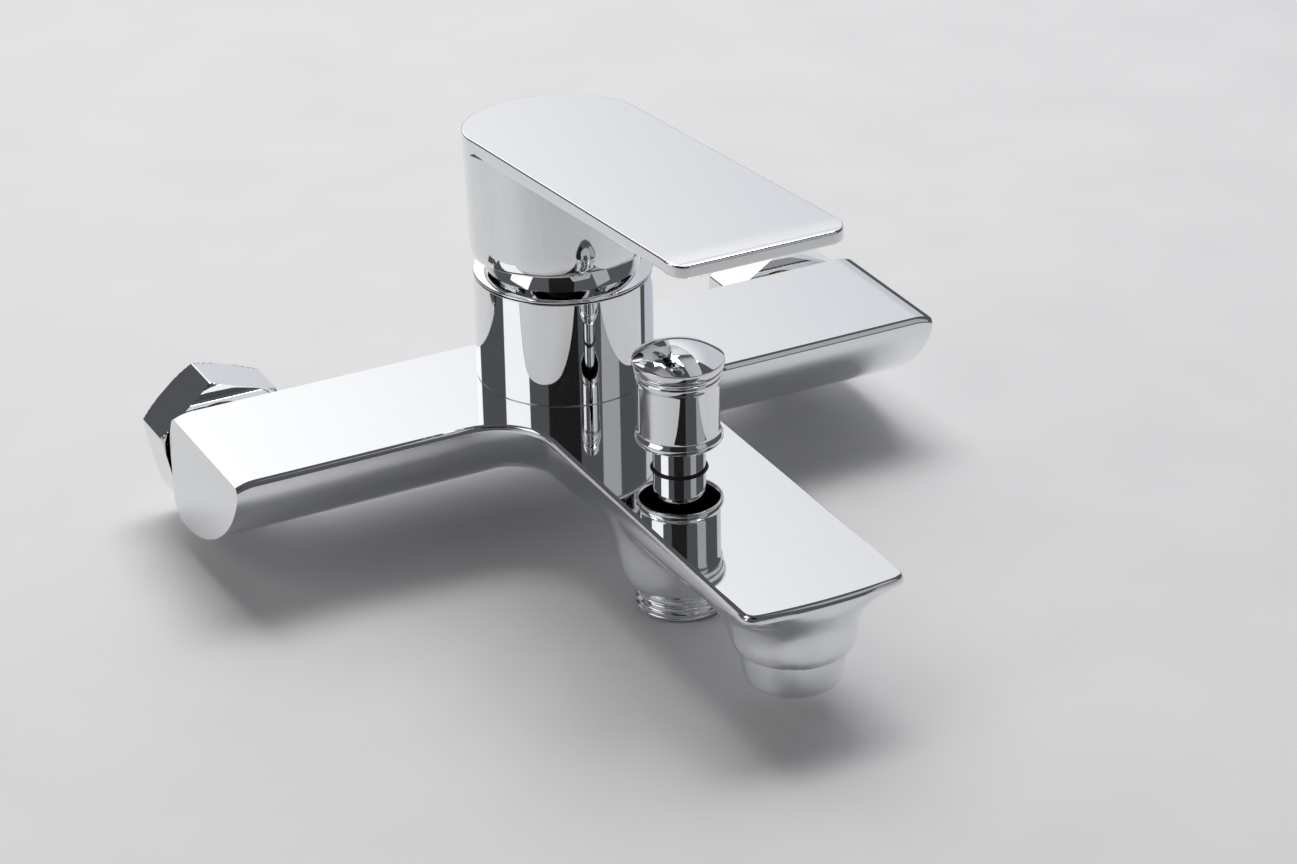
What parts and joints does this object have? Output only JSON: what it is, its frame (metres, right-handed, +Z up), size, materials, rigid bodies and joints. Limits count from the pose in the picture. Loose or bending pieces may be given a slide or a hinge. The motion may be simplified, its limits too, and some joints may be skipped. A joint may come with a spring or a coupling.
{
  "type": "wall mounted bath and shower mixer tap",
  "caption": "Wall mounted chrome bath mixer: flat-topped bar and spout, single lever turret, pull-up diverter knob, shower outlet below and coupling nuts behind.",
  "frame": {"origin": "midway between the two inlet axes, on the plane of the coupling nuts' wall side", "axes": "+X along the bar, to the right for someone facing the wall; +Y into the wall; +Z up, towards the lever"},
  "size_m": [0.1818, 0.1655, 0.103],
  "materials": {
    "chrome": "polished",
    "brass": "machined",
    "ceramic": "lapped",
    "plastic": "moulded",
    "rubber": "matte",
    "steel": "drawn"
  },
  "bodies": {
    "fixture": {"body": "chrome", "turret_sleeve": "chrome", "cover_ring": "chrome", "cartridge_housing": "plastic", "cartridge_base": "plastic", "fixed_disc": "ceramic", "port_seals": "rubber", "cartridge_nut": "brass", "diverter_seal": "rubber", "diverter_bush": "brass", "diverter_orings": "rubber", "diverter_spring": "steel", "shower_nipple": "chrome", "aerator_housing": "chrome", "aerator_insert": "plastic", "aerator_washer": "rubber", "inlet_nipple_left": "brass", "inlet_nipple_right": "brass", "inlet_washer_left": "rubber", "inlet_washer_right": "rubber"},
    "mixer": {"cartridge_rotor": "plastic", "stem_pin": "steel"},
    "lever_arm": {"lever": "chrome", "lever_stem": "steel", "set_screw": "steel", "screw_plug": "chrome"},
    "discs": {"moving_disc": "ceramic", "disc_carrier": "plastic"},
    "diverter": {"diverter_knob": "chrome", "knob_cap": "chrome", "diverter_stem": "chrome", "valve_disc": "brass", "valve_washer": "rubber"},
    "nut_left": {"coupling_nut_left": "chrome"},
    "nut_right": {"coupling_nut_right": "chrome"}
  },
  "joints": [
    {"name": "lever_swivel", "type": "hinge", "parent": "fixture", "child": "mixer", "pos_m": [0, -0.0405, 0.036], "axis": [0, 0, 1], "range_deg": [-50, 50]},
    {"name": "lever_lift", "type": "hinge", "parent": "mixer", "child": "lever_arm", "pos_m": [0, -0.0405, 0.036], "axis": [-1, 0, 0], "range_deg": [-4.8, 15.2]},
    {"name": "disc_slide", "type": "slide", "parent": "mixer", "child": "discs", "axis": [0, -1, 0], "range_m": [-0.0012, 0.0036]},
    {"name": "diverter_pull", "type": "slide", "parent": "fixture", "child": "diverter", "axis": [0, 0, 1], "range_m": [-0.0068, 0], "deforming": ["diverter_spring"]},
    {"name": "nut_left_spin", "type": "hinge", "parent": "fixture", "child": "nut_left", "pos_m": [-0.075, -0.007, 0], "axis": [0, 1, 0], "continuous": true},
    {"name": "nut_right_spin", "type": "hinge", "parent": "fixture", "child": "nut_right", "pos_m": [0.075, -0.007, 0], "axis": [0, 1, 0], "continuous": true}
  ],
  "couplings": [
    {"joint": "disc_slide", "follows": "lever_lift", "m_per_rad": 0.01029}
  ]
}
